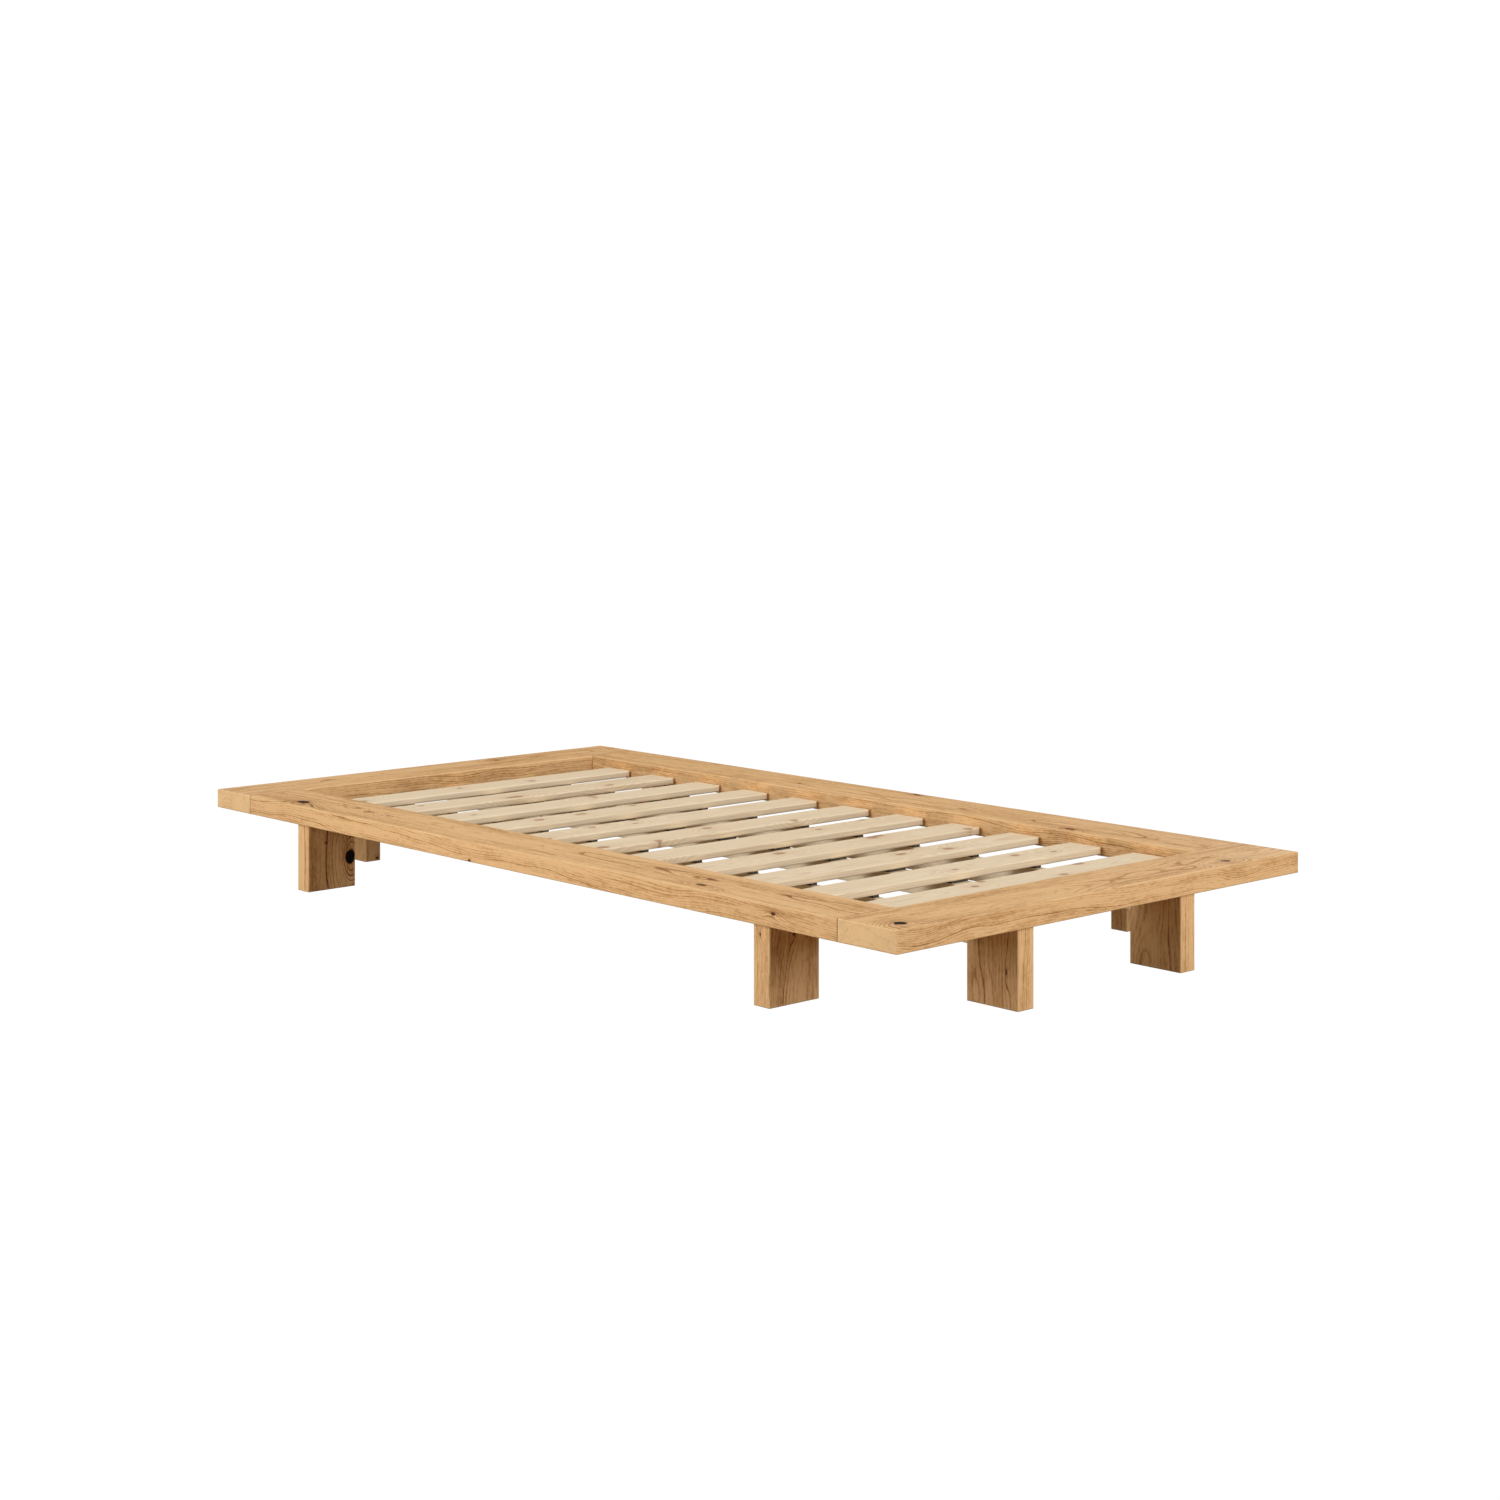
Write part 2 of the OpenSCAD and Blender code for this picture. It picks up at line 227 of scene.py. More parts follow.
def add(tree, kind, takes=None, **settings):
    """A new node with its settings, and what its inputs take by name or number."""
    node = tree.nodes.new(kind)
    for name, value in settings.items():
        setattr(node, name, value)
    for key, value in (takes or {}).items():
        feed(tree, node.inputs[key], value)
    return node


def math_of(tree, operation, *values):
    return add(tree, "ShaderNodeMath", dict(enumerate(values)), operation=operation).outputs[0]


def vector_of(tree, operation, *values):
    node = add(tree, "ShaderNodeVectorMath", dict(enumerate(values)), operation=operation)
    return node.outputs["Vector"]


def length_of(tree, vector):
    return add(tree, "ShaderNodeVectorMath", {0: vector}, operation="LENGTH").outputs["Value"]


def scaled(tree, vector, factor):
    node = add(tree, "ShaderNodeVectorMath", {0: vector, "Scale": factor}, operation="SCALE")
    return node.outputs["Vector"]


def axes_of(tree, vector):
    return add(tree, "ShaderNodeSeparateXYZ", {0: vector}).outputs


def total(tree, first, *weighted):
    """The first value plus the sum of pairs (socket, weight)."""
    result = first
    for socket, weight in weighted:
        result = math_of(tree, "MULTIPLY_ADD", socket, weight, result)
    return result


def swings(tree, middle, *weighted):
    """A middle value, swung up and down by pairs (socket that goes from 0 to 1, weight)."""
    offset = -0.5 * sum(weight for _, weight in weighted)
    return math_of(tree, "ADD", total(tree, middle, *weighted), offset)


def weighed(tree, weights, **sockets):
    """The base of some weights plus each socket times the weight of its name."""
    return total(tree, weights["base"], *((socket, weights[name]) for name, socket in sockets.items()))


def eased(tree, value, low, high, start=0.0, end=1.0):
    """Goes smoothly from start to end as the value goes from low to high."""
    takes = {"Value": value, "From Min": low, "From Max": high, "To Min": start, "To Max": end}
    return add(tree, "ShaderNodeMapRange", takes, interpolation_type="SMOOTHSTEP").outputs[0]


def fading(tree, value, low, high):
    """Goes smoothly from 1 to 0 as the value goes from low to high."""
    return eased(tree, value, low, high, 1.0, 0.0)


def noise_node(tree, vector, name):
    waves, detail, roughness = NOISES[name]
    placed = vector_of(tree, "MULTIPLY", vector, waves)
    takes = {"Vector": placed, "Scale": 1.0, "Detail": detail, "Roughness": roughness}
    return add(tree, "ShaderNodeTexNoise", takes)


def noise(tree, vector, name):
    """One of the noises, as a value from 0 to 1."""
    return noise_node(tree, vector, name).outputs[0]


def centred_noise(tree, vector, name):
    """One of the noises, as a vector that swings about 0."""
    colour = noise_node(tree, vector, name).outputs["Color"]
    return vector_of(tree, "SUBTRACT", colour, (0.5, 0.5, 0.5))


def mixed(tree, factor, first, second):
    node = add(tree, "ShaderNodeMix", data_type="RGBA")
    for number, value in ((0, factor), (6, first), (7, second)):
        feed(tree, node.inputs[number], value)
    return node.outputs[2]


def tinted(tree, mask, share, first, second):
    """Mixes a share of the second colour into the first where the mask is 1."""
    return mixed(tree, math_of(tree, "MULTIPLY", mask, share), first, second)


def graded(tree, value, *colours):
    """A colour from a ramp with evenly spaced stops."""
    ramp = add(tree, "ShaderNodeValToRGB", {"Fac": value})
    stops = ramp.color_ramp.elements
    for i in range(len(colours) - 2):
        stops.new((i + 1) / (len(colours) - 1))
    for stop, colour in zip(stops, colours):
        stop.color = (*colour, 1.0)
    return ramp.outputs["Color"]


def new_group(name, takes, gives):
    """An empty node group, with its input sockets and the sockets of its output node."""
    tree = bpy.data.node_groups.new(name, "ShaderNodeTree")
    for label, default in takes.items():
        kind = "NodeSocketVector" if isinstance(default, tuple) else "NodeSocketFloat"
        socket = tree.interface.new_socket(label, in_out="INPUT", socket_type=kind)
        socket.default_value = default
    for label in gives:
        kind = "NodeSocketColor" if label == "Color" else "NodeSocketFloat"
        tree.interface.new_socket(label, in_out="OUTPUT", socket_type=kind)
    return tree, tree.nodes.new("NodeGroupInput").outputs, tree.nodes.new("NodeGroupOutput").inputs


def placed_group(tree, group, takes):
    node = add(tree, "ShaderNodeGroup", node_tree=group)
    for key, value in takes.items():
        feed(tree, node.inputs[key], value)
    return node.outputs


def seeded(tree, vector, seed):
    """The vector moved far off by the seed, so that no two boards are cut from the same tree."""
    return vector_of(tree, "ADD", vector, scaled(tree, SEED_STEP, seed))


def depth_inside(tree, vector, half_size):
    """How deep a point of a board lies under each pair of its faces."""
    return vector_of(tree, "SUBTRACT", half_size, vector_of(tree, "ABSOLUTE", vector))


# ---- node groups that several finishes share ----

def make_growth_rings():
    """Year rings round a pith that runs along the board, so that a flat face shows arches, an edge
    shows lines and an end shows arcs. Swell pushes the rings round a knot."""
    takes = {"Vector": ORIGIN, "Seed": 0.0, "Pith Y": 0.0, "Pith Z": 0.0, "Wander": 0.0,
             "Taper": 0.0, "Spacing": PINE_SPACING, "Swell": 0.0}
    tree, given, result = new_group("growth_rings", takes, ("Ring", "Year"))
    place = seeded(tree, given["Vector"], given["Seed"])
    slow = centred_noise(tree, place, "slow bend")
    quick = centred_noise(tree, place, "quick bend")
    bent = vector_of(tree, "ADD", given["Vector"], scaled(tree, slow, given["Wander"]))
    small = math_of(tree, "MULTIPLY", given["Wander"], QUICK_BEND_SHARE)
    bent = vector_of(tree, "ADD", bent, scaled(tree, quick, small))
    pith = add(tree, "ShaderNodeCombineXYZ", {"Y": given["Pith Y"], "Z": given["Pith Z"]}).outputs[0]
    across = vector_of(tree, "MULTIPLY", vector_of(tree, "SUBTRACT", bent, pith), (0, 1, 1))
    along = axes_of(tree, given["Vector"])["X"]
    radius = math_of(tree, "MULTIPLY_ADD", along, given["Taper"], length_of(tree, across))
    radius = math_of(tree, "ADD", radius, given["Swell"])
    ring = math_of(tree, "DIVIDE", radius, given["Spacing"])
    year = math_of(tree, "ADD", math_of(tree, "FLOOR", ring), given["Seed"])
    chosen = add(tree, "ShaderNodeTexWhiteNoise", {"W": year}, noise_dimensions="1D")
    feed(tree, result["Ring"], math_of(tree, "FRACT", ring))
    feed(tree, result["Year"], chosen.outputs["Value"])
    return tree


def make_knot():
    """One knot: its core, the stained wood round it, how far it pushes the rings aside, and how
    near it is. Shape holds 1 over each radius, or 0 where the knot runs right through."""
    takes = {"Vector": ORIGIN, "Centre": ORIGIN, "Shape": (1, 1, 1), "Push": 0.0}
    tree, given, result = new_group("knot", takes, ("Core", "Stain", "Swell", "Near"))
    away = vector_of(tree, "SUBTRACT", given["Vector"], given["Centre"])
    away = vector_of(tree, "MULTIPLY", away, given["Shape"])
    distance = length_of(tree, away)
    ragged = noise(tree, given["Vector"], "knot edge")
    edge = math_of(tree, "MULTIPLY_ADD", ragged, KNOT_RAGGED, distance)
    feed(tree, result["Core"], fading(tree, edge, *KNOT_EDGE))
    stain = math_of(tree, "EXPONENT", math_of(tree, "MULTIPLY", distance, -STAIN_FALL))
    feed(tree, result["Stain"], stain)
    stretched = length_of(tree, vector_of(tree, "MULTIPLY", away, SWELL_STRETCH))
    spread = math_of(tree, "MULTIPLY", math_of(tree, "POWER", stretched, 2.0), -SWELL_FALL)
    near = math_of(tree, "EXPONENT", spread)
    feed(tree, result["Near"], near)
    feed(tree, result["Swell"], math_of(tree, "MULTIPLY", near, given["Push"]))
    return tree


def make_edge_wear_and_highlight():
    """A mask that is 1 on a board's edges and 0 away from them, with a wavy border. The edges it marks
    are lightened partly as wear and partly as a painted highlight.
    """
    takes = {"Vector": ORIGIN, "Half Size": (1, 1, 1), "Width": PINE_WORN_HIGHLIGHT_WIDTH, "Seed": 0.0}
    tree, given, result = new_group("edge_wear_and_highlight", takes, ("Mask",))
    x, y, z = axes_of(tree, depth_inside(tree, given["Vector"], given["Half Size"]))
    low = math_of(tree, "MINIMUM", x, y)
    high = math_of(tree, "MAXIMUM", x, y)
    second = math_of(tree, "MAXIMUM", low, math_of(tree, "MINIMUM", high, z))
    wavy = noise(tree, seeded(tree, given["Vector"], given["Seed"]), "worn highlight edge")
    depth = math_of(tree, "DIVIDE", second, given["Width"])
    depth = math_of(tree, "SUBTRACT", depth, WORN_HIGHLIGHT_WAVE / 2)
    depth = math_of(tree, "MULTIPLY_ADD", wavy, WORN_HIGHLIGHT_WAVE, depth)
    feed(tree, result["Mask"], fading(tree, depth, *WORN_HIGHLIGHT_BORDER))
    return tree


def make_joint_line():
    """Where the end rails meet the side rails: a thin line of painted shade for the groove between
    them, and a wider strip along it.
    """
    labels = [label for label, _ in JOINT_REACHES]
    tree, given, result = new_group("joint_line", {"Vector": ORIGIN}, labels)
    x, y, _ = axes_of(tree, given["Vector"])
    off = math_of(tree, "SUBTRACT", math_of(tree, "ABSOLUTE", y), JOINT_Y)
    off = math_of(tree, "ABSOLUTE", off)
    outside = eased(tree, math_of(tree, "ABSOLUTE", x), JOINT_X - JOINT_SOFTNESS,
                    JOINT_X + JOINT_SOFTNESS)
    for label, reach in JOINT_REACHES:
        near = fading(tree, off, reach * JOINT_FULL_SHARE, reach)
        feed(tree, result[label], math_of(tree, "MULTIPLY", near, outside))
    return tree


def make_fibres():
    """What runs along the grain: broad bands, fine streaks, small flecks, open pores and the pale
    feathery rays."""
    gives = ("Bands", "Streaks", "Flecks", "Pores", "Rays")
    tree, given, result = new_group("fibres", {"Vector": ORIGIN, "Seed": 0.0}, gives)
    place = seeded(tree, given["Vector"], given["Seed"])
    feed(tree, result["Bands"], noise(tree, place, "bands"))
    feed(tree, result["Streaks"], noise(tree, place, "streaks"))
    feed(tree, result["Flecks"], noise(tree, place, "flecks"))
    feed(tree, result["Pores"], eased(tree, noise(tree, place, "pores"), *PORE_LEVELS))
    feed(tree, result["Rays"], eased(tree, noise(tree, place, "rays"), *RAY_LEVELS))
    return tree


growth_rings = make_growth_rings()
knot_group = make_knot()
edge_wear_and_highlight = make_edge_wear_and_highlight()
joint_line = make_joint_line()
fibres = make_fibres()


def new_wood_figure(name, marks, wander, taper, worn_highlight_width):
    """A group for one kind of wood, with the rings, the fibres and the worn edges, lightened as wear
    and as a painted highlight, already in it.
    Marks are the inputs that only this wood has."""
    takes = {"Vector": ORIGIN, "Half Size": (1, 1, 1), "Seed": 0.0, "Pith Y": 0.0, "Pith Z": 0.0,
             "Spacing": PINE_SPACING, "Swell": 0.0, "Stain": 0.0, "Tone": 0.0}
    takes.update(dict.fromkeys(marks, 0.0))
    tree, given, result = new_group(name, takes, ("Color", "Roughness", "Height"))
    shared = {key: given[key] for key in ("Vector", "Seed")}
    growth = {key: given[key] for key in ("Pith Y", "Pith Z", "Swell", "Spacing")}
    rings = placed_group(tree, growth_rings, {**shared, **growth, "Wander": wander, "Taper": taper})
    grain = placed_group(tree, fibres, shared)
    edges = {**shared, "Half Size": given["Half Size"], "Width": worn_highlight_width}
    worn_and_highlight = placed_group(tree, edge_wear_and_highlight, edges)["Mask"]
    return tree, given, result, rings, grain, worn_and_highlight


def make_oak_figure():
    """Oiled oak: colour, roughness and height from rings, fibres, knots and worn edges, which are
    lightened partly as wear and partly as a painted highlight.
    """
    marks = ("Black Core", "Brown Core", "Near", "Line", "Strip")
    tree, given, result, rings, grain, worn_and_highlight = new_wood_figure(
        "oak_figure", marks, OAK_WANDER, OAK_TAPER, OAK_WORN_HIGHLIGHT_WIDTH)
    inset = depth_inside(tree, given["Vector"], given["Half Size"])
    end = fading(tree, axes_of(tree, inset)["X"], *END_DEPTH)
    early = math_of(tree, "MULTIPLY", eased(tree, rings["Ring"], *EARLY_RISE),
                    fading(tree, rings["Ring"], *EARLY_FALL))
    strong = math_of(tree, "POWER", rings["Year"], 2.0)
    strong = math_of(tree, "MULTIPLY_ADD", strong, 1 - FAINTEST_YEAR, FAINTEST_YEAR)
    strong = math_of(tree, "MULTIPLY_ADD", given["Near"], NEAR_KNOT_GAIN, strong)
    early = math_of(tree, "MULTIPLY", early, strong)
    early = math_of(tree, "MULTIPLY", early, total(tree, 1.0, (end, -END_RINGS_LOST)))
    mottle = noise(tree, seeded(tree, given["Vector"], given["Seed"]), "mottle")
    pores = math_of(tree, "MULTIPLY", grain["Pores"],
                    total(tree, PORES_ANYWHERE, (early, PORES_IN_EARLY)))
    depth = swings(tree, given["Tone"], (early, OAK_DEPTH["early"]),
                   (rings["Year"], OAK_DEPTH["year"]), (grain["Bands"], OAK_DEPTH["bands"]),
                   (grain["Streaks"], OAK_DEPTH["streaks"]),
                   (grain["Flecks"], OAK_DEPTH["flecks"]), (mottle, OAK_DEPTH["mottle"]))
    depth = total(tree, depth, (pores, OAK_DEPTH["pores"]), (given["Stain"], OAK_DEPTH["stain"]),
                  (grain["Rays"], OAK_DEPTH["rays"]))
    colour = graded(tree, depth, OAK_PALE, OAK_MIDDLE, OAK_DEEP)
    colour = tinted(tree, end, END_SHARE, colour, OAK_END)
    unjoined = math_of(tree, "SUBTRACT", 1.0, given["Strip"])
    worn_and_highlight = math_of(tree, "MULTIPLY", worn_and_highlight, unjoined)
    # Worn edges lightened toward pale oak: partly wear, partly a painted highlight along the edges.
    colour = tinted(tree, worn_and_highlight, WORN_HIGHLIGHT_SHARE, colour, OAK_WORN_HIGHLIGHT)
    colour = mixed(tree, given["Brown Core"], colour, KNOT_BROWN)
    colour = mixed(tree, given["Black Core"], colour, KNOT_BLACK)
    # The joint line darkened: painted shade in the groove between the rails.
    colour = tinted(tree, given["Line"], JOINT_SHADE_SHARE, colour, JOINT_PAINTED_SHADE)
    feed(tree, result["Color"], colour)
    feed(tree, result["Roughness"], weighed(
        tree, OAK_ROUGHNESS, early=early, pores=pores, knot=given["Black Core"]))
    feed(tree, result["Height"], weighed(
        tree, OAK_HEIGHT, early=early, pores=pores, streaks=grain["Streaks"],
        flecks=grain["Flecks"]))
    return tree


def make_pine_figure():
    """Planed pine: pale spring wood with thin deeper summer lines and small pinkish knots."""
    tree, given, result, rings, grain, worn_and_highlight = new_wood_figure(
        "pine_figure", ("Core",), PINE_WANDER, PINE_TAPER, PINE_WORN_HIGHLIGHT_WIDTH)
    late = math_of(tree, "MULTIPLY", eased(tree, rings["Ring"], *LATE_RISE),
                   fading(tree, rings["Ring"], *LATE_FALL))
    depth = swings(tree, given["Tone"], (late, PINE_DEPTH["late"]),
                   (rings["Year"], PINE_DEPTH["year"]), (grain["Bands"], PINE_DEPTH["bands"]),
                   (grain["Streaks"], PINE_DEPTH["streaks"]),
                   (grain["Flecks"], PINE_DEPTH["flecks"]))
    # The edges are made a little paler: partly wear, partly a painted highlight.
    depth = total(tree, depth, (given["Stain"], PINE_DEPTH["stain"]), (worn_and_highlight, PINE_DEPTH["worn_and_highlight"]))
    colour = graded(tree, depth, PINE_PALE, PINE_MIDDLE, PINE_DEEP)
    feed(tree, result["Color"], tinted(tree, given["Core"], PINE_KNOT_SHARE, colour, PINE_KNOT))
    shown = dict(late=late, streaks=grain["Streaks"])
    feed(tree, result["Roughness"], weighed(tree, PINE_ROUGHNESS, **shown))
    feed(tree, result["Height"], weighed(tree, PINE_HEIGHT, **shown))
    return tree


oak_figure = make_oak_figure()
pine_figure = make_pine_figure()


# ---- materials ----

def new_material(name, **settings):
    """A material with a plain shader, whose own sockets hold what is the same all over."""
    material = bpy.data.materials.new(name)
    material.use_nodes = True
    tree = material.node_tree
    shader = tree.nodes["Principled BSDF"]
    for label, value in settings.items():
        feed(tree, shader.inputs[label.replace("_", " ")], value)
    return material, tree, shader


def surfaced(tree, shader, colour, roughness, height, bump):
    """Gives the shader its colour, its roughness and a bump from a height."""
    feed(tree, shader.inputs["Base Color"], colour)
    feed(tree, shader.inputs["Roughness"], roughness)
    strength, distance = bump
    takes = {"Height": height, "Strength": strength, "Distance": distance}
    feed(tree, shader.inputs["Normal"], add(tree, "ShaderNodeBump", takes).outputs[0])


def object_space(tree):
    return add(tree, "ShaderNodeTexCoord").outputs["Object"]


def board_axes(node):
    """A board's middle, its half sizes along the grain, across and through, and its turn."""
    low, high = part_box(node)
    size = high - low
    order = sorted(range(3), key=lambda axis: -size[axis])
    grain, width = (Vector([float(i == axis) for i in range(3)]) for axis in order[:2])
    turn = Matrix((grain, width, grain.cross(width))).transposed()
    return (low + high) / 2, Vector([size[axis] / 2 for axis in order]), turn


def board_space(tree, node):
    """The board's own coordinates: along the grain, across it and through it, from its middle."""
    middle, half, turn = board_axes(node)
    takes = {"Vector": object_space(tree), "Location": middle, "Rotation": turn.to_euler()}
    return add(tree, "ShaderNodeMapping", takes, vector_type="TEXTURE").outputs[0], half


# The two kinds of knot, by the input that each one's core goes to.
BLACK = "Black Core"
BROWN = "Brown Core"


def knots_on(tree, vector, knots):
    """The joined effect of a list of knots: (middle, radii along, across and through, push, kind).
    A radius of 0 means that the knot runs right through that way."""
    summed = ("Swell", "Stain", "Near")
    marks = dict.fromkeys((*summed, BLACK, BROWN), 0.0)
    for centre, radii, push, kind in knots:
        shape = tuple(1 / radius if radius else 0.0 for radius in radii)
        knot = placed_group(tree, knot_group, {
            "Vector": vector, "Centre": centre, "Shape": shape, "Push": push})
        for key in summed:
            marks[key] = math_of(tree, "ADD", knot[key], marks[key])
        marks[kind] = math_of(tree, "MAXIMUM", knot["Core"], marks[kind])
    return marks


def oak_board(node, seed, pith, spacing=OAK_SPACING, knots=()):
    """Oiled oak for one board, with its own rings and knots, and joint lines on the rails."""
    material, tree, shader = new_material(f"oiled_oak_{node}", Specular_IOR_Level=OAK_GLOSS)
    vector, half = board_space(tree, node)
    takes = {"Vector": vector, "Half Size": half, "Seed": seed, "Pith Y": pith[0],
             "Pith Z": pith[1], "Spacing": spacing, "Tone": OAK_TONE}
    takes.update(knots_on(tree, vector, knots))
    if node.endswith("rail"):
        joint = placed_group(tree, joint_line, {"Vector": object_space(tree)})
        takes.update({label: joint[label] for label, _ in JOINT_REACHES})
    figure = placed_group(tree, oak_figure, takes)
    surfaced(tree, shader, figure["Color"], figure["Roughness"], figure["Height"], OAK_BUMP)
    return material


def pine_board(node, seed, pith, tone, knots):
    """Planed pine for one slat or beam."""
    material, tree, shader = new_material(f"pine_{node}", Specular_IOR_Level=PINE_GLOSS)
    vector, half = board_space(tree, node)
    marks = knots_on(tree, vector, knots)
    figure = placed_group(tree, pine_figure, {
        "Vector": vector, "Half Size": half, "Seed": seed, "Pith Y": pith[0], "Pith Z": pith[1],
        "Tone": tone, "Swell": marks["Swell"], "Stain": marks["Stain"], "Core": marks[BROWN]})
    surfaced(tree, shader, figure["Color"], figure["Roughness"], figure["Height"], PINE_BUMP)
    return material


def rubber():
    """Dark matte rubber with a fine grain and a little dust."""
    material, tree, shader = new_material("rubber_pad", Specular_IOR_Level=RUBBER_GLOSS)
    where = object_space(tree)
    dust = noise(tree, where, "rubber dust")
    dusty = eased(tree, dust, *RUBBER_DUST_LEVELS)
    surfaced(tree, shader, mixed(tree, dusty, RUBBER_DARK, RUBBER_DUSTY),
             weighed(tree, RUBBER_ROUGHNESS, dust=dust), noise(tree, where, "rubber grain"),
             RUBBER_BUMP)
    return material


def beech():
    """Plain beech with its short dark flecks."""
    material, tree, shader = new_material("beech_dowel", Specular_IOR_Level=BEECH_GLOSS)
    where = object_space(tree)
    flecks = eased(tree, noise(tree, where, "beech flecks"), *BEECH_FLECK_LEVELS)
    streaks = noise(tree, where, "beech streaks")
    depth = weighed(tree, BEECH_DEPTH, flecks=flecks, streaks=streaks)
    surfaced(tree, shader, graded(tree, depth, BEECH_PALE, BEECH_DEEP),
             weighed(tree, BEECH_ROUGHNESS, streaks=streaks), streaks, BEECH_BUMP)
    return material


def zinc():
    """Bright zinc plating, slightly dull, with soft clouds and fine scratches."""
    material, tree, shader = new_material("zinc_steel", Metallic=1.0)
    where = object_space(tree)
    clouds = noise(tree, where, "zinc clouds")
    scratches = noise(tree, where, "zinc scratches")
    surfaced(tree, shader, graded(tree, clouds, ZINC_PALE, ZINC_DEEP),
             weighed(tree, ZINC_ROUGHNESS, clouds=clouds, scratches=scratches), scratches,
             ZINC_BUMP)
    return material


def finish(node, material):
    """Gives a node its material in place of the plain one."""
    frame["nodes"][node].data.materials[0] = material


# ---- which knots and rings each oak board has, in the board's own coordinates ----

OAK_BOARDS = {
    "head_rail": dict(seed=1.0, pith=(0.02, -0.075), knots=[
        ((0.21, 0.03, 0), (0.006, 0.005, 0), 0.016, BROWN)]),
    "foot_rail": dict(seed=2.0, pith=(-0.015, -0.07), knots=[
        ((-0.548, -0.033, 0), (0.012, 0.012, 0), 0.030, BLACK),
        ((0.399, -0.040, 0), (0.010, 0.008, 0), 0.032, BROWN)]),
    "left_rail": dict(seed=3.0, pith=(0.01, -0.08), knots=[
        ((0.832, -0.033, 0), (0.018, 0.013, 0), 0.034, BLACK),
        ((0.728, 0.012, 0), (0.005, 0.003, 0), 0.010, BROWN),
        ((0.668, 0.010, 0), (0.005, 0.003, 0), 0.010, BROWN),
        ((0.602, -0.004, 0), (0.004, 0.003, 0), 0.008, BROWN),
        ((0.524, -0.005, 0), (0.004, 0.003, 0), 0.008, BROWN),
        ((-0.591, -0.040, 0), (0.013, 0.005, 0), 0.026, BROWN),
        ((-0.830, -0.075, -0.005), (0.006, 0.03, 0.003), 0.010, BROWN),
        ((0.120, -0.075, 0.019), (0.005, 0.02, 0.003), 0.008, BROWN)]),
    "right_rail": dict(seed=4.0, pith=(-0.02, -0.075), knots=[
        ((-0.067, 0.059, 0), (0.010, 0.005, 0), 0.018, BROWN),
        ((-0.639, -0.054, 0), (0.012, 0.006, 0), 0.022, BROWN)]),
    "side_leg_head_left": dict(seed=5.0, pith=(-0.03, 0.09), spacing=0.012, knots=[
        ((-0.008, 0.050, 0), (0.016, 0.013, 0), 0.130, BLACK),
        ((0.033, -0.017, -0.022), (0.002, 0.002, 0.004), 0.0, BROWN)]),
    "side_leg_head_right": dict(seed=6.0, pith=(0.02, 0.08)),
    "side_leg_foot_left": dict(seed=7.0, pith=(0.03, 0.10), knots=[
        ((0.059, -0.065, 0.003), (0.003, 0.01, 0.002), 0.004, BROWN),
        ((0.054, -0.002, -0.022), (0.003, 0.003, 0.01), 0.004, BROWN)]),
    "side_leg_foot_right": dict(seed=8.0, pith=(-0.02, 0.09)),
    "end_leg_head_left": dict(seed=9.0, pith=(0.01, 0.08), knots=[
        ((-0.071, -0.065, -0.012), (0.003, 0.01, 0.003), 0.004, BLACK)]),
    "end_leg_head_right": dict(seed=10.0, pith=(-0.03, 0.08)),
    "end_leg_foot_left": dict(seed=11.0, pith=(0.04, -0.09), knots=[
        ((-0.007, -0.036, 0.022), (0.006, 0.0015, 0.01), 0.004, BROWN)]),
    "end_leg_foot_right": dict(seed=12.0, pith=(0.02, -0.10)),
}


def pine_knots(chance, half):
    """Small knots spread over a slat or beam."""
    knots = []
    for _ in range(PINE_KNOTS):
        along, across = (chance.uniform(-reach, reach) * size
                         for reach, size in zip(PINE_KNOT_REACH, half))
        radius = chance.uniform(*PINE_KNOT_RADII)
        knots.append(((along, across, 0), (radius * PINE_KNOT_STRETCH, radius, 0),
                      radius * PINE_KNOT_PUSH, BROWN))
    return knots


for name, choice in OAK_BOARDS.items():
    finish(name, oak_board(name, **choice))

chance = random.Random(PINE_DRAW_SEED)
pine_names = [name for name in frame["nodes"] if name.startswith(("slat_", "beam_"))]
for number, name in enumerate(sorted(pine_names)):
    pith = (chance.uniform(*PINE_PITH_Y), chance.choice((-1, 1)) * chance.uniform(*PINE_PITH_Z))
    knots = pine_knots(chance, board_axes(name)[1])
    # The beams' paler tone is painted light against the slats' shade.
    tone = chance.uniform(*PINE_TONES) - (BEAM_PAINTED_LIGHT if name.startswith("beam") else 0.0)
    finish(name, pine_board(name, PINE_FIRST_SEED + number, pith, tone, knots))

for slot, material in (("rubber_pad", rubber()), ("beech_dowel", beech()), ("zinc_steel", zinc())):
    for part in frame["record"]["subparts"]:
        if part["material_slot"] == slot:
            finish(part["node"], material)


# ---- floor, light and camera ----

def placed_object(name, data, place, turn):
    """A new object in the scene, at a place and with a turn about X, Y and Z."""
    holder = bpy.data.objects.new(name, data)
    holder.location = place
    holder.rotation_euler = turn
    bpy.context.scene.collection.objects.link(holder)
    return holder


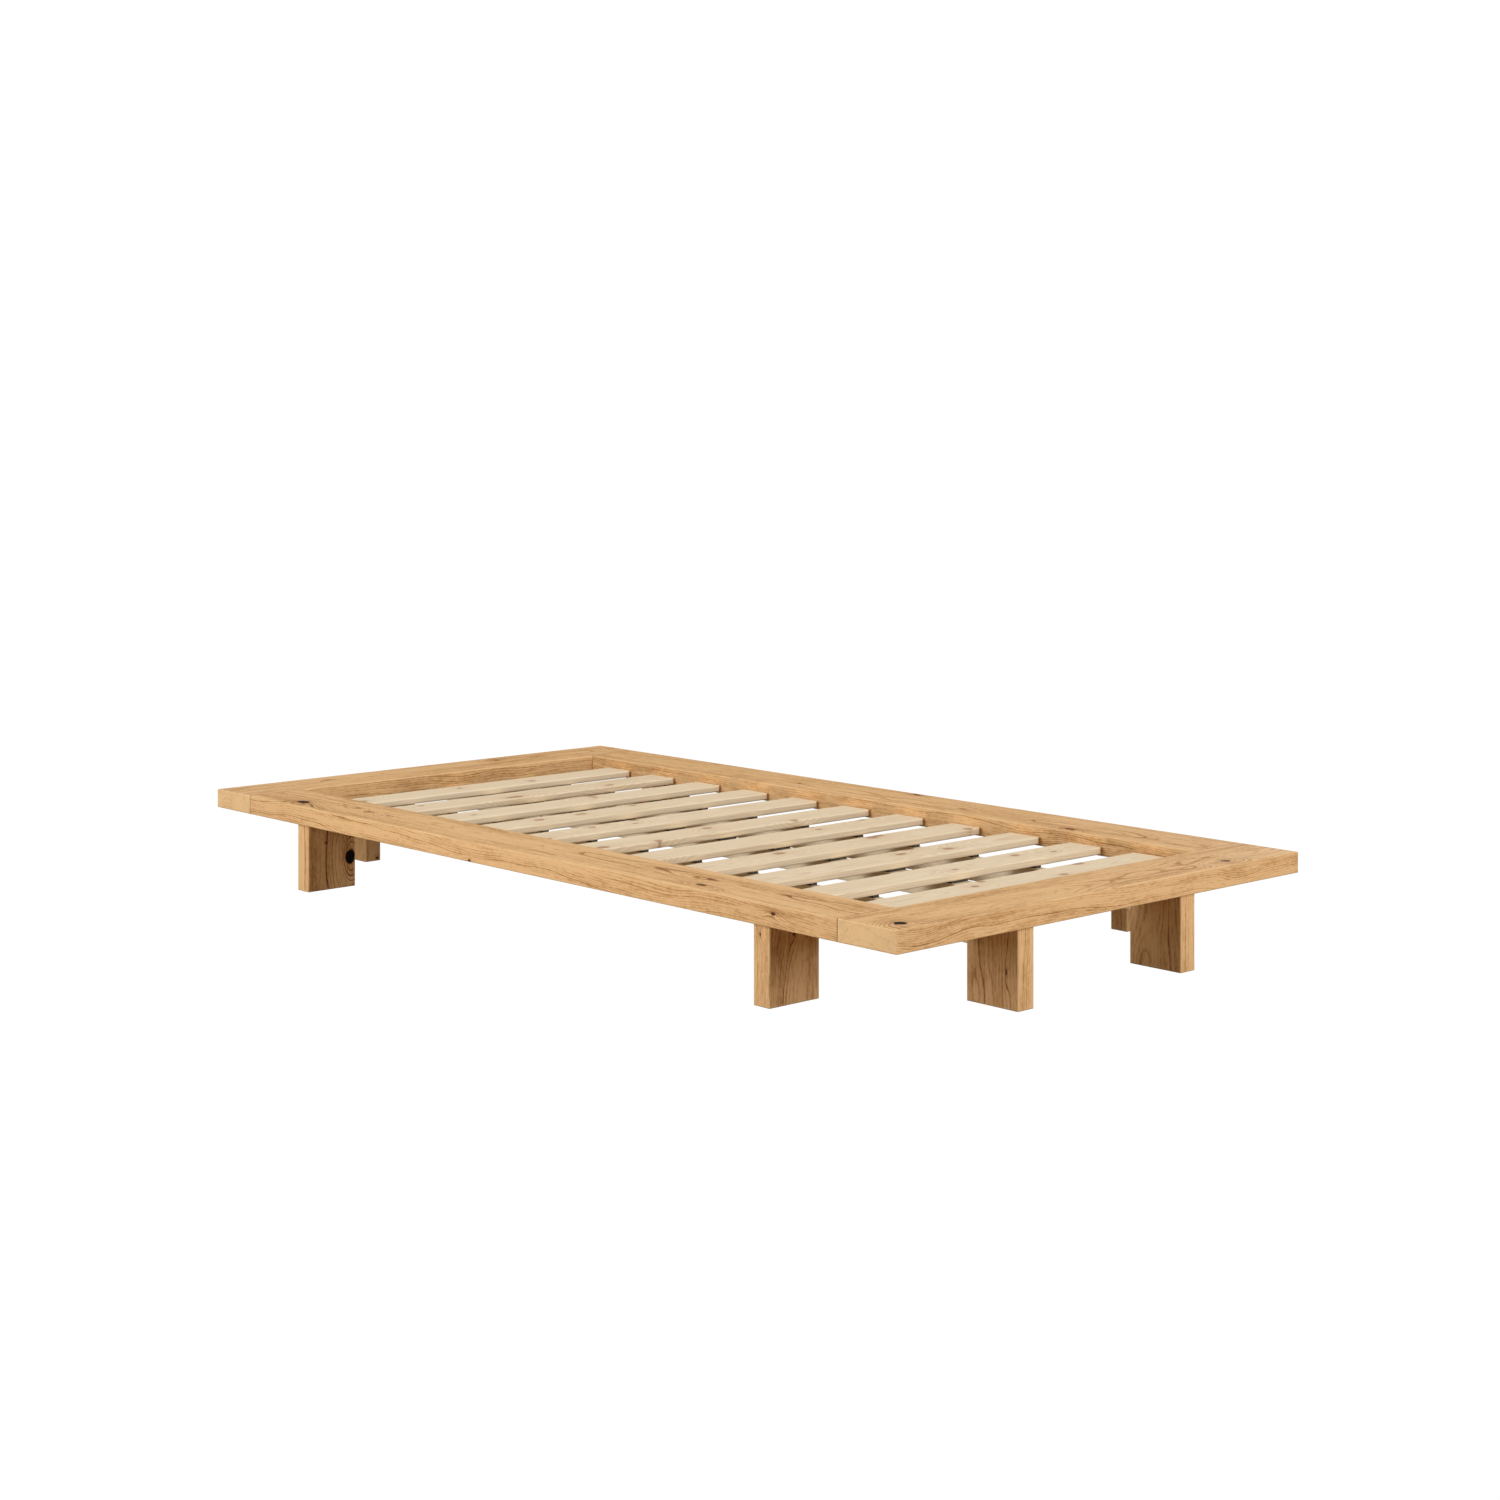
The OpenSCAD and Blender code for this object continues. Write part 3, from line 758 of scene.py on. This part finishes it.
def pale_floor():
    """A wide floor, white to the eye with only a faint shadow, that throws back a dim warm light."""
    material, tree, shader = new_material(
        "pale_floor", Base_Color=FLOOR_COLOUR, Roughness=FLOOR_ROUGHNESS)
    glow = add(tree, "ShaderNodeEmission", {"Color": WHITE, "Strength": WHITE_STRENGTH})
    seen = add(tree, "ShaderNodeLightPath").outputs["Is Camera Ray"]
    share = math_of(tree, "MULTIPLY", seen, FLOOR_WHITE_SHARE)
    blend = add(tree, "ShaderNodeMixShader", {0: share, 1: shader.outputs[0], 2: glow.outputs[0]})
    feed(tree, tree.nodes["Material Output"].inputs["Surface"], blend.outputs[0])
    mesh = bpy.data.meshes.new("floor")
    shape = bmesh.new()
    bmesh.ops.create_grid(shape, x_segments=1, y_segments=1, size=FLOOR_REACH)
    bmesh.ops.translate(shape, verts=shape.verts, vec=(0, 0, -FLOOR_DROP))
    shape.to_mesh(mesh)
    shape.free()
    mesh.materials.append(material)
    placed_object("floor", mesh, ORIGIN, ORIGIN)


def soft_light(name, place, aim, side, power):
    """A large square lamp at a place, facing a point."""
    lamp = bpy.data.lights.new(name, "AREA")
    lamp.shape = "SQUARE"
    lamp.size = side
    lamp.energy = power
    facing = Vector(aim) - Vector(place)
    placed_object(name, lamp, place, facing.to_track_quat("-Z", "Y").to_euler())


def pale_surround():
    """An even fill light of a warm tint, which the camera itself sees as plain white."""
    world = bpy.data.worlds.new("studio")
    world.use_nodes = True
    tree = world.node_tree
    back = tree.nodes["Background"]
    seen = add(tree, "ShaderNodeLightPath").outputs["Is Camera Ray"]
    feed(tree, back.inputs["Color"], mixed(tree, seen, FILL_TINT, WHITE))
    shine = {"Value": seen, "To Min": FILL_STRENGTH, "To Max": WHITE_STRENGTH}
    feed(tree, back.inputs["Strength"], add(tree, "ShaderNodeMapRange", shine).outputs[0])
    bpy.context.scene.world = world


def camera():
    lens = bpy.data.cameras.new("camera")
    lens.lens = CAMERA_LENS
    lens.sensor_width = CAMERA_SENSOR
    lens.shift_y = CAMERA_SHIFT
    turn = (math.radians(90), 0, math.radians(CAMERA_TURN))
    bpy.context.scene.camera = placed_object("camera", lens, CAMERA_PLACE, turn)


pale_floor()
for name, settings in LAMPS.items():
    soft_light(name, *settings)
pale_surround()
bpy.context.scene.view_settings.view_transform = "Standard"
camera()
